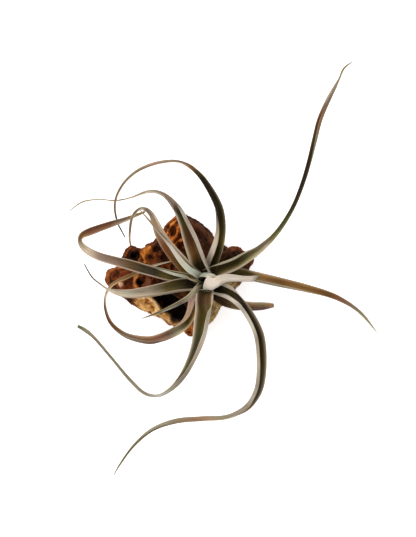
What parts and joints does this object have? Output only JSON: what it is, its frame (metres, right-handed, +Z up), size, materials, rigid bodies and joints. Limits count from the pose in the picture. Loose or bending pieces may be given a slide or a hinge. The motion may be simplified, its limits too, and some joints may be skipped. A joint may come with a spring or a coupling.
{
  "type": "air plant on a wood chunk",
  "caption": "Curly-leaved air plant with long channelled leaves clasping a short stem, seated in a hollow of a rough chunk of wood that lies on its flat sawn underside.",
  "frame": {"origin": "middle of the wood's flat sawn underside", "axes": "+Z up out of the wood, +Y along the two longest leaves (towards the upper one), +X to the right as the plant is seen from above"},
  "size_m": [0.216, 0.291, 0.1127],
  "materials": {
    "dark_wood": "rough, weathered",
    "stem_bark": "dry, fibrous",
    "leaf_pale": "matt, scurfy",
    "leaf_silver": "matt, scurfy",
    "leaf_olive": "matt, scurfy",
    "leaf_brown": "matt, scurfy"
  },
  "bodies": {
    "root": {"wood_chunk": "dark_wood", "stem": "stem_bark", "leaf_centre_folded": "leaf_pale", "leaf_bud": "leaf_silver", "leaf_upper_left_narrow": "leaf_silver", "leaf_lower_left_narrow": "leaf_silver", "leaf_left_narrow": "leaf_silver", "leaf_top": "leaf_brown", "leaf_front": "leaf_brown", "leaf_lower_right_long": "leaf_olive", "leaf_upper_right_long": "leaf_olive", "leaf_top_loop": "leaf_olive", "leaf_right": "leaf_olive", "leaf_left": "leaf_olive", "leaf_left_hairpin": "leaf_brown", "leaf_upper_left_broad": "leaf_brown", "leaf_lower_right_short": "leaf_brown", "leaf_lower_left_curl": "leaf_brown"}
  },
  "joints": []
}
